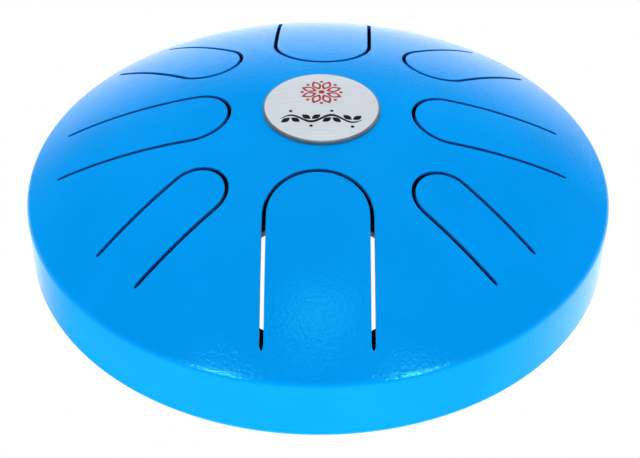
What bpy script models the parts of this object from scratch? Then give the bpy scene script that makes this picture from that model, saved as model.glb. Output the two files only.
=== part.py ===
"""Steel tongue drum: two pressed steel shells, eight tongues cut in the upper one, a badge and feet.

The drum stands on four rubber feet, with the sound hole in its lower shell facing the ground.
Metres, +Z up. The origin is on the ground, on the drum's axis, and the player sits on the -Y side.
"""

import math
from collections import namedtuple

import bmesh
import bpy
from mathutils import Matrix, Vector

MM = 0.001

# ---------------------------------------------------------------- driving dimensions

RIM_RADIUS = 150 * MM           # where the upper dome's line meets the skirt's line
SKIRT_FOOT_RADIUS = 149.4 * MM  # the skirt narrows a little towards its foot
SKIRT_HEIGHT = 33.6 * MM        # from the upper corner to the lower one
SHEET = 2 * MM                  # sheet steel
DOME_QUADRATIC = 40.4 * MM      # the dome's fall at the rim is the sum of these two terms
DOME_QUARTIC = 5.2 * MM
LOWER_DEPTH_RATIO = 0.93        # the lower dome is this much flatter than the upper one
CORNER_ROUND = 4.3 * MM         # outside radius of both pressed corners

SOUND_HOLE_RADIUS = 52 * MM
GROUND_CLEARANCE = 8 * MM       # height of the sound hole's edge

LIP_RADIUS = 146.3 * MM         # outside of the lower shell's lip, which stands inside the skirt
LIP_HEIGHT = 10 * MM
GAP = 0.3 * MM                  # between pieces that touch

SLOT = 2 * MM                   # width of the cut around each tongue

Tongue = namedtuple("Tongue", "name direction width tip root")
# The direction is in degrees from +X. The width lies between the middles of the two straight cuts,
# and the tip and the root are distances from the drum's axis along the tongue.
TONGUES = (
    Tongue("tongue_front", -90.0, 51.5 * MM, 45.5 * MM, 135.5 * MM),
    Tongue("tongue_front_right", -42.0, 30.0 * MM, 67.0 * MM, 127.5 * MM),
    Tongue("tongue_right", 1.5, 37.0 * MM, 48.0 * MM, 125.5 * MM),
    Tongue("tongue_back_right", 43.5, 36.5 * MM, 69.5 * MM, 137.5 * MM),
    Tongue("tongue_back", 88.5, 50.5 * MM, 48.0 * MM, 133.0 * MM),
    Tongue("tongue_back_left", 135.0, 35.5 * MM, 65.5 * MM, 138.0 * MM),
    Tongue("tongue_left", 178.0, 37.0 * MM, 45.0 * MM, 132.5 * MM),
    Tongue("tongue_front_left", -138.0, 30.0 * MM, 64.5 * MM, 130.0 * MM),
)

BADGE_RADIUS = 29.5 * MM
BADGE_PLATE = 1.0 * MM
BADGE_ADHESIVE = 0.4 * MM
BADGE_EDGE_ROUND = 0.4 * MM
BADGE_CENTRE = (1.5 * MM, 1.0 * MM)   # glued on by hand, a little off the axis
ADHESIVE_MARGIN = 1.0 * MM            # the adhesive disc is this much smaller than the plate

TRIM_WALL = 1.2 * MM            # rubber trim around the sound hole
TRIM_REACH = 5 * MM             # how far its legs reach over the sheet

FOOT_COUNT = 4
FOOT_FIRST_ANGLE = 45           # degrees from +X
FOOT_FIXING_RADIUS = 85 * MM    # where a foot's screw passes through the lower shell
FOOT_SHIFT = 2.3 * MM           # a foot's own axis lies this far outside that point
FOOT_TOP_RADIUS = 13 * MM
FOOT_BASE_RADIUS = 11.5 * MM
FOOT_BASE_ROUND = 1.2 * MM
FOOT_WEB = 6 * MM               # rubber between the shell and the screw's washer
COUNTERBORE_RADIUS = 5.2 * MM

SHANK_RADIUS = 1.85 * MM        # M4 screw
SCREW_LENGTH = 16 * MM
HEAD_RADIUS = 3.7 * MM
HEAD_HEIGHT = 2.6 * MM
RECESS_DEPTH = 1.5 * MM
RECESS_REACH = 2.0 * MM
RECESS_HALF_WIDTH = 0.45 * MM
WASHER_RADIUS = 4.5 * MM
WASHER_THICKNESS = 0.8 * MM
NUT_ACROSS_FLATS = 7 * MM
NUT_HEIGHT = 3.2 * MM
THREAD_HOLE_RADIUS = 2.1 * MM   # nut
CLEAR_HOLE_RADIUS = 2.25 * MM   # shell, washer and foot

# ---------------------------------------------------------------- facets

SHELL_STEPS = 64
UPPER_RINGS = 8
LOWER_RINGS = 5
CORNER_STEPS = 3
TIP_STEPS = 12
TRIM_STEPS = 48
BADGE_STEPS = 40
BADGE_RINGS = 2
FOOT_STEPS = 20
FASTENER_STEPS = 12
EDGE_STEPS = 2

SMOOTH_ANGLE = math.radians(40)

# ---------------------------------------------------------------- materials

# colour (linear), metallic, roughness
FINISHES = {
    "blue_powder_coat": ((0.0, 0.30, 0.85, 1), 0.0, 0.35),
    "brushed_steel": ((0.62, 0.65, 0.68, 1), 1.0, 0.35),
    "adhesive": ((0.80, 0.80, 0.76, 1), 0.0, 0.60),
    "black_rubber": ((0.015, 0.015, 0.016, 1), 0.0, 0.75),
    "zinc_steel": ((0.56, 0.57, 0.58, 1), 1.0, 0.32),
}


def make_materials():
    materials = {}
    for name, (colour, metallic, roughness) in FINISHES.items():
        material = bpy.data.materials.new(name)
        material.use_nodes = True
        shader = material.node_tree.nodes["Principled BSDF"]
        shader.inputs["Base Color"].default_value = colour
        shader.inputs["Metallic"].default_value = metallic
        shader.inputs["Roughness"].default_value = roughness
        material.diffuse_color = colour
        materials[name] = material
    return materials


# ---------------------------------------------------------------- the drum's section

def dome_drop(radius):
    """The upper dome's fall below its apex at this distance from the axis."""
    share = radius / RIM_RADIUS
    return DOME_QUADRATIC * share**2 + DOME_QUARTIC * share**4


def dome_slope(radius):
    share = radius / RIM_RADIUS
    return (2 * DOME_QUADRATIC * share + 4 * DOME_QUARTIC * share**3) / RIM_RADIUS


LOW_POLE_Z = GROUND_CLEARANCE - LOWER_DEPTH_RATIO * dome_drop(SOUND_HOLE_RADIUS)
LOWER_CORNER_Z = LOW_POLE_Z + LOWER_DEPTH_RATIO * dome_drop(SKIRT_FOOT_RADIUS)
UPPER_CORNER_Z = LOWER_CORNER_Z + SKIRT_HEIGHT
APEX_Z = UPPER_CORNER_Z + dome_drop(RIM_RADIUS)

# The top of the skirt's line in the drum's section, as (radius, z), and the line's outward normal.
SKIRT_TOP = Vector((RIM_RADIUS, UPPER_CORNER_Z))
SKIRT_NORMAL = Vector((SKIRT_HEIGHT, SKIRT_FOOT_RADIUS - RIM_RADIUS)).normalized()


def upper_dome(radius):
    """A point of the upper dome's outside, and its outward normal, in the section."""
    point = Vector((radius, APEX_Z - dome_drop(radius)))
    return point, Vector((dome_slope(radius), 1)).normalized()


def lower_dome(radius):
    point = Vector((radius, LOW_POLE_Z + LOWER_DEPTH_RATIO * dome_drop(radius)))
    return point, Vector((LOWER_DEPTH_RATIO * dome_slope(radius), -1)).normalized()


def corner_round(dome):
    """The radius at which a dome meets its corner's round, and the round's centre."""
    low, high = 0.9 * RIM_RADIUS, RIM_RADIUS
    for _ in range(40):
        radius = (low + high) / 2
        point, normal = dome(radius)
        centre = point - CORNER_ROUND * normal
        if (SKIRT_TOP - centre).dot(SKIRT_NORMAL) > CORNER_ROUND:
            low = radius
        else:
            high = radius
    return radius, centre


def outer_skin(dome, first_radius, rings):
    """Points and normals along a dome's outside and round its corner, ending square to the skirt."""
    last_radius, centre = corner_round(dome)
    skin = []
    for ring in range(rings + 1):
        skin.append(dome(first_radius + (last_radius - first_radius) * ring / rings))
    start = math.atan2(skin[-1][1].y, skin[-1][1].x)
    end = math.atan2(SKIRT_NORMAL.y, SKIRT_NORMAL.x)
    for step in range(1, CORNER_STEPS + 1):
        angle = start + (end - start) * step / CORNER_STEPS
        normal = Vector((math.cos(angle), math.sin(angle)))
        skin.append((centre + CORNER_ROUND * normal, normal))
    return skin


def inside_of(skin):
    return [point - SHEET * normal for point, normal in skin]


# The two shells meet where the lower corner's round ends on the skirt.
SEAM_Z = outer_skin(lower_dome, SOUND_HOLE_RADIUS, LOWER_RINGS)[-1][0].y

# ---------------------------------------------------------------- mesh helpers


def new_object(name, mesh, material=None):
    thing = bpy.data.objects.new(name, mesh)
    bpy.context.scene.collection.objects.link(thing)
    if material:
        mesh.materials.append(material)
        mesh.shade_smooth()
        mesh.set_sharp_from_angle(angle=SMOOTH_ANGLE)
    return thing


def mesh_from(bm, name):
    bmesh.ops.recalc_face_normals(bm, faces=bm.faces)
    mesh = bpy.data.meshes.new(name)
    bm.to_mesh(mesh)
    bm.free()
    return mesh


def revolved(name, section, steps):
    """A solid turned about Z from (radius, z) points. The section is closed, or ends on the axis."""
    bm = bmesh.new()
    verts = [bm.verts.new((radius, 0, z)) for radius, z in section]
    edges = [bm.edges.new(pair) for pair in zip(verts, verts[1:])]
    on_axis = section[0][0] == 0
    if not on_axis:
        edges.append(bm.edges.new((verts[-1], verts[0])))
    bmesh.ops.spin(bm, geom=verts + edges, axis=(0, 0, 1), cent=(0, 0, 0), angle=2 * math.pi,
                   steps=steps, use_merge=True)
    bmesh.ops.remove_doubles(bm, verts=bm.verts, dist=0.001 * MM)
    bmesh.ops.dissolve_degenerate(bm, edges=bm.edges, dist=0.001 * MM)
    return mesh_from(bm, name)


def prism(name, outline, bottom, top):
    """A solid with this plan outline between two heights."""
    bm = bmesh.new()
    face = bm.faces.new([bm.verts.new((x, y, bottom)) for x, y in outline])
    raised = bmesh.ops.extrude_face_region(bm, geom=[face])["geom"]
    corners = [item for item in raised if isinstance(item, bmesh.types.BMVert)]
    bmesh.ops.translate(bm, verts=corners, vec=(0, 0, top - bottom))
    return mesh_from(bm, name)


def cutter(name, mesh, placed=None):
    thing = new_object(name, mesh)
    thing.hide_render = True
    thing.display_type = "WIRE"
    if placed:
        thing.matrix_world = placed
    return thing


def cut(thing, tool, operation="DIFFERENCE"):
    boolean = thing.modifiers.new(tool.name, "BOOLEAN")
    boolean.operation = operation
    boolean.solver = "EXACT"
    boolean.object = tool


# ---------------------------------------------------------------- upper shell and tongues

def tongue_outline(tongue, side_margin, root_margin):
    """Plan outline around a tongue: straight sides from the root and a round tip."""
    half = tongue.width / 2 + side_margin
    tip_centre = tongue.tip + tongue.width / 2
    root = tongue.root + root_margin
    points = [(root, half), (root, -half)]
    for step in range(TIP_STEPS + 1):
        angle = -math.pi / 2 - math.pi * step / TIP_STEPS
        points.append((tip_centre + half * math.cos(angle), half * math.sin(angle)))
    turn = Matrix.Rotation(math.radians(tongue.direction), 2)
    return [turn @ Vector(point) for point in points]


def hinge_point(tongue):
    """The middle of the sheet at a tongue's root, where it bends."""
    point, normal = upper_dome(tongue.root)
    depth = SHEET / 2 / normal.y
    angle = math.radians(tongue.direction)
    return Vector((tongue.root * math.cos(angle), tongue.root * math.sin(angle), point.y - depth))


def upper_blank(name):
    """The upper shell before its tongues are cut."""
    skin = outer_skin(upper_dome, 0, UPPER_RINGS)
    skirt_end = SEAM_Z + GAP
    narrowing = (RIM_RADIUS - SKIRT_FOOT_RADIUS) * (UPPER_CORNER_Z - skirt_end) / SKIRT_HEIGHT
    skin.append((Vector((RIM_RADIUS - narrowing, skirt_end)), Vector((1, 0))))
    outside = [point for point, _ in skin]
    return revolved(name, outside + inside_of(skin)[::-1], SHELL_STEPS)


def make_upper_shell(materials):
    shell = new_object("upper_shell", upper_blank("upper_shell"), materials["blue_powder_coat"])
    for tongue in TONGUES:
        opening = prism("opening_" + tongue.name, tongue_outline(tongue, SLOT / 2, GAP),
                        UPPER_CORNER_Z, APEX_Z + SHEET)
        cut(shell, cutter("opening_" + tongue.name, opening))

        mesh = upper_blank(tongue.name)
        hinge = hinge_point(tongue)
        mesh.transform(Matrix.Translation(-hinge))
        blade = new_object(tongue.name, mesh, materials["blue_powder_coat"])
        blade.location = hinge
        outline = prism("outline_" + tongue.name, tongue_outline(tongue, -SLOT / 2, 0),
                        UPPER_CORNER_Z, APEX_Z + SHEET)
        cut(blade, cutter("outline_" + tongue.name, outline), "INTERSECT")


# ---------------------------------------------------------------- lower shell, seam and trim

def fixing_frames():
    """Where each foot's screw passes through the lower shell's outside. Local +Z points inwards."""
    point, normal = lower_dome(FOOT_FIXING_RADIUS)
    tilt = math.atan2(normal.x, -normal.y)
    frames = []
    for index in range(FOOT_COUNT):
        angle = math.radians(FOOT_FIRST_ANGLE) + 2 * math.pi * index / FOOT_COUNT
        turn = Matrix.Rotation(angle, 4, "Z")
        place = turn @ Matrix.Translation((point.x, 0, point.y)) @ Matrix.Rotation(-tilt, 4, "Y")
        frames.append(place)
    return frames


def make_lower_shell(materials):
    skin = outer_skin(lower_dome, SOUND_HOLE_RADIUS, LOWER_RINGS)
    inner_lip = LIP_RADIUS - SHEET
    lip_base, lip_normal = lower_dome(inner_lip)
    section = [point for point, _ in skin]
    section.append(Vector((LIP_RADIUS, SEAM_Z)))
    section.append(Vector((LIP_RADIUS, SEAM_Z + LIP_HEIGHT)))
    section.append(Vector((inner_lip, SEAM_Z + LIP_HEIGHT)))
    section.append(Vector((inner_lip, lip_base.y - SHEET / lip_normal.y)))
    section += inside_of(skin[:LOWER_RINGS])[::-1]
    shell = new_object("lower_shell", revolved("lower_shell", section, SHELL_STEPS),
                       materials["blue_powder_coat"])
    hole = [(0, -2 * SHEET), (CLEAR_HOLE_RADIUS, -2 * SHEET), (CLEAR_HOLE_RADIUS, 3 * SHEET), (0, 3 * SHEET)]
    for number, place in enumerate(fixing_frames(), 1):
        tool = cutter(f"screw_hole_{number}", revolved("screw_hole", hole, FASTENER_STEPS), place)
        cut(shell, tool)


def make_seam_sealant(materials):
    """The bead of sealant that bonds the lower shell's lip inside the skirt."""
    inner = LIP_RADIUS + GAP
    outer = SKIRT_FOOT_RADIUS - SHEET - GAP
    low, high = SEAM_Z + 2 * GAP, SEAM_Z + LIP_HEIGHT - GAP
    section = [(outer, low), (outer, high), (inner, high), (inner, low)]
    new_object("seam_sealant", revolved("seam_sealant", section, SHELL_STEPS), materials["adhesive"])


def make_sound_hole_trim(materials):
    """A U-section rubber trim pushed over the sound hole's edge, its legs along the sheet."""
    edge, normal = lower_dome(SOUND_HOLE_RADIUS)
    along = Vector((-normal.y, normal.x))
    web = -GAP - TRIM_WALL
    below = GAP + TRIM_WALL
    above = -(SHEET + below)
    corners = ((web, below), (TRIM_REACH, below), (TRIM_REACH, GAP), (-GAP, GAP),
               (-GAP, -SHEET - GAP), (TRIM_REACH, -SHEET - GAP), (TRIM_REACH, above), (web, above))
    section = [edge + along * reach + normal * height for reach, height in corners]
    new_object("sound_hole_trim", revolved("sound_hole_trim", section, TRIM_STEPS),
               materials["black_rubber"])


# ---------------------------------------------------------------- badge

def domed_disc(name, section):
    """A disc that follows the dome: (distance from the badge's centre, height over the dome)."""
    mesh = revolved(name, section, BADGE_STEPS)
    for vert in mesh.vertices:
        vert.co.x += BADGE_CENTRE[0]
        vert.co.y += BADGE_CENTRE[1]
        vert.co.z += APEX_Z - dome_drop(math.hypot(vert.co.x, vert.co.y))
    return mesh


def ring_radii(radius):
    return [radius * ring / BADGE_RINGS for ring in range(BADGE_RINGS + 1)]


def make_badge(materials):
    adhesive_bottom = GAP
    adhesive_top = adhesive_bottom + BADGE_ADHESIVE
    plate_bottom = adhesive_top + GAP
    plate_top = plate_bottom + BADGE_PLATE

    radii = ring_radii(BADGE_RADIUS - ADHESIVE_MARGIN)
    section = [(radius, adhesive_bottom) for radius in radii]
    section += [(radius, adhesive_top) for radius in reversed(radii)]
    new_object("badge_adhesive", domed_disc("badge_adhesive", section), materials["adhesive"])

    section = [(radius, plate_bottom) for radius in ring_radii(BADGE_RADIUS)]
    rounded_from = BADGE_RADIUS - BADGE_EDGE_ROUND
    for step in range(EDGE_STEPS + 1):
        angle = math.pi / 2 * step / EDGE_STEPS
        section.append((rounded_from + BADGE_EDGE_ROUND * math.cos(angle),
                        plate_top - BADGE_EDGE_ROUND + BADGE_EDGE_ROUND * math.sin(angle)))
    section += [(radius, plate_top) for radius in reversed(ring_radii(rounded_from)[:-1])]
    new_object("badge_plate", domed_disc("badge_plate", section), materials["brushed_steel"])


# ---------------------------------------------------------------- feet and their fasteners

def shell_clearance_mesh():
    """Everything from just under the lower shell upwards, near the feet."""
    radii = [FOOT_FIXING_RADIUS + FOOT_TOP_RADIUS * offset for offset in (-2, -1, 0, 1, 2)]
    underside = []
    for radius in radii:
        point, normal = lower_dome(radius)
        underside.append(point + GAP * normal)
    top = UPPER_CORNER_Z
    section = underside + [Vector((underside[-1].x, top)), Vector((underside[0].x, top))]
    return revolved("shell_clearance", section, SHELL_STEPS)


def foot_section():
    height = LOWER_CORNER_Z
    taper = (FOOT_TOP_RADIUS - FOOT_BASE_RADIUS) / lower_dome(FOOT_FIXING_RADIUS)[0].y
    section = [(0, 0)]
    for step in range(EDGE_STEPS + 1):
        angle = math.pi / 2 * (step / EDGE_STEPS - 1)
        section.append((FOOT_BASE_RADIUS - FOOT_BASE_ROUND + FOOT_BASE_ROUND * math.cos(angle),
                        FOOT_BASE_ROUND + FOOT_BASE_ROUND * math.sin(angle)))
    section.append((FOOT_BASE_RADIUS + taper * height, height))
    section.append((0, height))
    return section


def make_feet(materials):
    clearance = cutter("shell_clearance", shell_clearance_mesh())
    deep = 30 * MM
    shoulder = -GAP - FOOT_WEB
    bore = [(0, -deep), (COUNTERBORE_RADIUS, -deep), (COUNTERBORE_RADIUS, shoulder),
            (CLEAR_HOLE_RADIUS, shoulder), (CLEAR_HOLE_RADIUS, deep), (0, deep)]
    for number, place in enumerate(fixing_frames(), 1):
        name = f"foot_{number}"
        foot = new_object(name, revolved(name, foot_section(), FOOT_STEPS), materials["black_rubber"])
        outward = Vector((place.translation.x, place.translation.y, 0)).normalized()
        foot.location = outward * (FOOT_FIXING_RADIUS + FOOT_SHIFT)
        cut(foot, clearance)
        cut(foot, cutter(f"screw_bore_{number}", revolved("screw_bore", bore, FASTENER_STEPS), place))


def cross_outline():
    """A screw head's cross recess."""
    long, short = RECESS_REACH, RECESS_HALF_WIDTH
    arm = [Vector((long, -short)), Vector((long, short)), Vector((short, short))]
    return [Matrix.Rotation(math.pi / 2 * quarter, 2) @ point for quarter in range(4) for point in arm]


def make_fasteners(materials):
    washer_top = -2 * GAP - FOOT_WEB
    washer_bottom = washer_top - WASHER_THICKNESS
    head_top = washer_bottom - GAP
    head_bottom = head_top - HEAD_HEIGHT
    head_edge = HEAD_HEIGHT / 3
    nut_bottom = SHEET + GAP

    screw = [(0, head_bottom), (HEAD_RADIUS * 0.75, head_bottom), (HEAD_RADIUS, head_bottom + head_edge),
             (HEAD_RADIUS, head_top), (SHANK_RADIUS, head_top), (SHANK_RADIUS, head_top + SCREW_LENGTH),
             (0, head_top + SCREW_LENGTH)]
    washer = [(CLEAR_HOLE_RADIUS, washer_bottom), (WASHER_RADIUS, washer_bottom),
              (WASHER_RADIUS, washer_top), (CLEAR_HOLE_RADIUS, washer_top)]
    nut_radius = NUT_ACROSS_FLATS / math.sqrt(3)
    hexagon = [(nut_radius * math.cos(math.pi / 3 * side), nut_radius * math.sin(math.pi / 3 * side))
               for side in range(6)]
    thread = [(0, 0), (THREAD_HOLE_RADIUS, 0), (THREAD_HOLE_RADIUS, 3 * NUT_HEIGHT), (0, 3 * NUT_HEIGHT)]

    for number, place in enumerate(fixing_frames(), 1):
        screw_mesh = revolved("foot_screw", screw, FASTENER_STEPS)
        body = new_object(f"foot_screw_{number}", screw_mesh, materials["zinc_steel"])
        body.matrix_world = place
        recess = prism("recess", cross_outline(), head_bottom - RECESS_DEPTH, head_bottom + RECESS_DEPTH)
        cut(body, cutter(f"recess_{number}", recess, place))

        ring = new_object(f"foot_washer_{number}", revolved("foot_washer", washer, FASTENER_STEPS),
                          materials["zinc_steel"])
        ring.matrix_world = place

        nut_mesh = prism("foot_nut", hexagon, nut_bottom, nut_bottom + NUT_HEIGHT)
        nut = new_object(f"foot_nut_{number}", nut_mesh, materials["zinc_steel"])
        nut.matrix_world = place
        cut(nut, cutter(f"thread_{number}", revolved("thread", thread, FASTENER_STEPS), place))


def main():
    for thing in list(bpy.data.objects):
        bpy.data.objects.remove(thing, do_unlink=True)
    materials = make_materials()
    make_upper_shell(materials)
    make_lower_shell(materials)
    make_seam_sealant(materials)
    make_sound_hole_trim(materials)
    make_badge(materials)
    make_feet(materials)
    make_fasteners(materials)


main()
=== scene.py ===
"""The looks of the steel tongue drum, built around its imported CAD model. Metres, +Z up."""

import math
from collections import namedtuple

import bpy
import numpy as np
from mathutils import Matrix, Vector
from mathutils.geometry import delaunay_2d_cdt


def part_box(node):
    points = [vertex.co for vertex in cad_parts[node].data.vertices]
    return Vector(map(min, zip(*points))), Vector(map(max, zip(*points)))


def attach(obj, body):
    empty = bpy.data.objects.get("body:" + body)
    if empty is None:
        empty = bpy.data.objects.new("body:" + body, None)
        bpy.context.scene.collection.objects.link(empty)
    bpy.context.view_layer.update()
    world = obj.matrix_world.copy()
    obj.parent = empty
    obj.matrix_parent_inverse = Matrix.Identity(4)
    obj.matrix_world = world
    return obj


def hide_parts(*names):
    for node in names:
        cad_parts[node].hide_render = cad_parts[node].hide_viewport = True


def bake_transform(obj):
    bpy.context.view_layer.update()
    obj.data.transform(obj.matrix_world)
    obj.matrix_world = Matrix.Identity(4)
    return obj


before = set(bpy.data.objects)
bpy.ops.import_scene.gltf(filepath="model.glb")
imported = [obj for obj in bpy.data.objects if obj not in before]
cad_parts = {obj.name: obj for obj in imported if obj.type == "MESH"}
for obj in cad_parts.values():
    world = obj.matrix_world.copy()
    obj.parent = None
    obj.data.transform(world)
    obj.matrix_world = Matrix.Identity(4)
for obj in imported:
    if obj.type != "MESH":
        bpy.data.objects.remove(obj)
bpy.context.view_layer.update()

MM = 0.001

# -------- sizes shared with the CAD model

APEX_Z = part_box("upper_shell")[1].z
RIM_RADIUS = 150 * MM
SKIRT_FOOT_RADIUS = 149.4 * MM
SKIRT_HEIGHT = 33.6 * MM
SHEET = 2 * MM
DOME_QUADRATIC = 40.4 * MM
DOME_QUARTIC = 5.2 * MM
LOWER_DEPTH_RATIO = 0.93
CORNER_ROUND = 4.3 * MM
SOUND_HOLE_RADIUS = 52 * MM
LIP_RADIUS = 146.3 * MM
LIP_HEIGHT = 10 * MM
GAP = 0.3 * MM
SLOT = 2 * MM

Tongue = namedtuple("Tongue", "name direction width tip root")
TONGUES = (
    Tongue("front", -90.0, 51.5 * MM, 45.5 * MM, 135.5 * MM),
    Tongue("front_right", -42.0, 30.0 * MM, 67.0 * MM, 127.5 * MM),
    Tongue("right", 1.5, 37.0 * MM, 48.0 * MM, 125.5 * MM),
    Tongue("back_right", 43.5, 36.5 * MM, 69.5 * MM, 137.5 * MM),
    Tongue("back", 88.5, 50.5 * MM, 48.0 * MM, 133.0 * MM),
    Tongue("back_left", 135.0, 35.5 * MM, 65.5 * MM, 138.0 * MM),
    Tongue("left", 178.0, 37.0 * MM, 45.0 * MM, 132.5 * MM),
    Tongue("front_left", -138.0, 30.0 * MM, 64.5 * MM, 130.0 * MM),
)

BADGE_RADIUS = 29.5 * MM
BADGE_CENTRE = Vector((1.5 * MM, 1.0 * MM))
BADGE_BOTTOM = 1.0 * MM         # the plate's two faces, over the dome
BADGE_TOP = 2.0 * MM

TRIM_WALL = 1.2 * MM
TRIM_REACH = 5 * MM

FOOT_COUNT = 4
FOOT_FIRST_ANGLE = 45
FOOT_FIXING_RADIUS = 85 * MM
FOOT_SHIFT = 2.3 * MM
FOOT_TOP_RADIUS = 13 * MM
FOOT_BASE_RADIUS = 11.5 * MM
FOOT_WEB = 6 * MM
COUNTERBORE_RADIUS = 5.2 * MM
CLEAR_HOLE_RADIUS = 2.25 * MM

# -------- sizes of the fine surfaces

EDGE_ROUND = 0.25 * MM          # the powder coat rounds each cut edge
EDGE_STEPS = 4
INNER_EDGE_ROUND = 0.2 * MM
CUT_END = 2.5 * MM              # length of the rounded end of a cut
SPLIT = 3.0 * MM                # a tongue's mesh starts this far inside its root
BEND = 12 * MM                  # a tongue's bending length; its two ends are worked out but not used
AROUND = 256
OUTER_SPACING = 5 * MM          # between the points of a dome
INNER_SPACING = 10 * MM
EDGE_CLEARANCE = 0.45           # share of the spacing that dome points keep from each edge
CORNER_STEPS = 10
SEAM_ROUND = 0.15 * MM
LIP_ROOT_ROUND = 1.5 * MM
BADGE_ROUND = 0.9 * MM
BADGE_RIM = 0.6 * MM            # thickness of the badge's turned-down rim
BADGE_RIM_BOTTOM = 0.08 * MM
BADGE_RINGS = 12                # of faces on its flat top
BADGE_STEPS = 160

# -------- the drum's section


def turns(count):
    """The angles of this many equal steps round a full turn."""
    return [2 * math.pi * step / count for step in range(count)]


def unit(angle):
    return Vector((math.cos(angle), math.sin(angle)))


def dome_drop(radius):
    share = radius / RIM_RADIUS
    return DOME_QUADRATIC * share**2 + DOME_QUARTIC * share**4


def dome_slope(radius):
    share = radius / RIM_RADIUS
    return (2 * DOME_QUADRATIC * share + 4 * DOME_QUARTIC * share**3) / RIM_RADIUS


UPPER_CORNER_Z = APEX_Z - dome_drop(RIM_RADIUS)
LOWER_CORNER_Z = UPPER_CORNER_Z - SKIRT_HEIGHT
LOW_POLE_Z = LOWER_CORNER_Z - LOWER_DEPTH_RATIO * dome_drop(SKIRT_FOOT_RADIUS)
SKIRT_TOP = Vector((RIM_RADIUS, UPPER_CORNER_Z))
SKIRT_NORMAL = Vector((SKIRT_HEIGHT, SKIRT_FOOT_RADIUS - RIM_RADIUS)).normalized()


def upper_dome(radius):
    """A point of the upper dome's outside, as (radius, z), and its outward normal."""
    return Vector((radius, APEX_Z - dome_drop(radius))), Vector((dome_slope(radius), 1)).normalized()


def lower_dome(radius):
    point = Vector((radius, LOW_POLE_Z + LOWER_DEPTH_RATIO * dome_drop(radius)))
    return point, Vector((LOWER_DEPTH_RATIO * dome_slope(radius), -1)).normalized()


def corner_round(dome):
    """The radius at which a dome meets its corner's round, and the round's centre."""
    low, high = 0.9 * RIM_RADIUS, RIM_RADIUS
    for _ in range(40):
        radius = (low + high) / 2
        point, normal = dome(radius)
        centre = point - CORNER_ROUND * normal
        if (SKIRT_TOP - centre).dot(SKIRT_NORMAL) > CORNER_ROUND:
            low = radius
        else:
            high = radius
    return radius, centre


def corner_arc(dome):
    """Points and normals round a corner, from the dome to the skirt."""
    radius, centre = corner_round(dome)
    normal = dome(radius)[1]
    start = math.atan2(normal.y, normal.x)
    end = math.atan2(SKIRT_NORMAL.y, SKIRT_NORMAL.x)
    arc = []
    for step in range(CORNER_STEPS + 1):
        angle = start + (end - start) * step / CORNER_STEPS
        normal = unit(angle)
        arc.append((centre + CORNER_ROUND * normal, normal))
    return arc


SEAM_Z = corner_arc(lower_dome)[-1][0].y


def on_dome(dome, x, y, depth=0.0):
    """The point this far under a dome's outside at a plan position, and the outside's normal there."""
    radius = math.hypot(x, y)
    point, normal = dome(radius)
    across = Vector((x, y)) / radius if radius else Vector((1, 0))
    direction = Vector((across.x * normal.x, across.y * normal.x, normal.y))
    return Vector((x, y, point.y)) - depth * direction, direction


def inside_of(samples):
    return [(point - SHEET * normal, -normal) for point, normal in samples]


def rounded(corners, closed=False, steps=5):
    """A section with rounded corners, from (point, radius) pairs: its points and their normals.

    The metal is on the left of the way along it. The two ends of an open section stay as they are.
    """
    count = len(corners)
    samples = []
    for index, (corner, radius) in enumerate(corners):
        at_start, at_end = index == 0 and not closed, index == count - 1 and not closed
        before, after = corners[index - 1][0], corners[(index + 1) % count][0]
        leaving = None if at_end else (after - corner).normalized()
        along = leaving if at_start else (corner - before).normalized()
        normal = Vector((along.y, -along.x))
        if at_start or at_end:
            samples.append((corner.copy(), normal))
            continue
        turn = -along.angle_signed(leaving)
        side = math.copysign(radius, turn)
        centre = corner - radius * math.tan(abs(turn) / 2) * along - side * normal
        for step in range(steps + 1):
            spun = Matrix.Rotation(turn * step / steps, 2) @ normal
            samples.append((centre + side * spun, spun))
    return samples


# -------- mesh building

COAT, INSIDE, CUT = 0, 1, 2     # material numbers of the shells and tongues
SHARP = math.radians(35)
CLOSE = 1e-9                    # points nearer to each other than this are one point


def add_object(name, data):
    thing = bpy.data.objects.new(name, data)
    bpy.context.scene.collection.objects.link(thing)
    return thing


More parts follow.
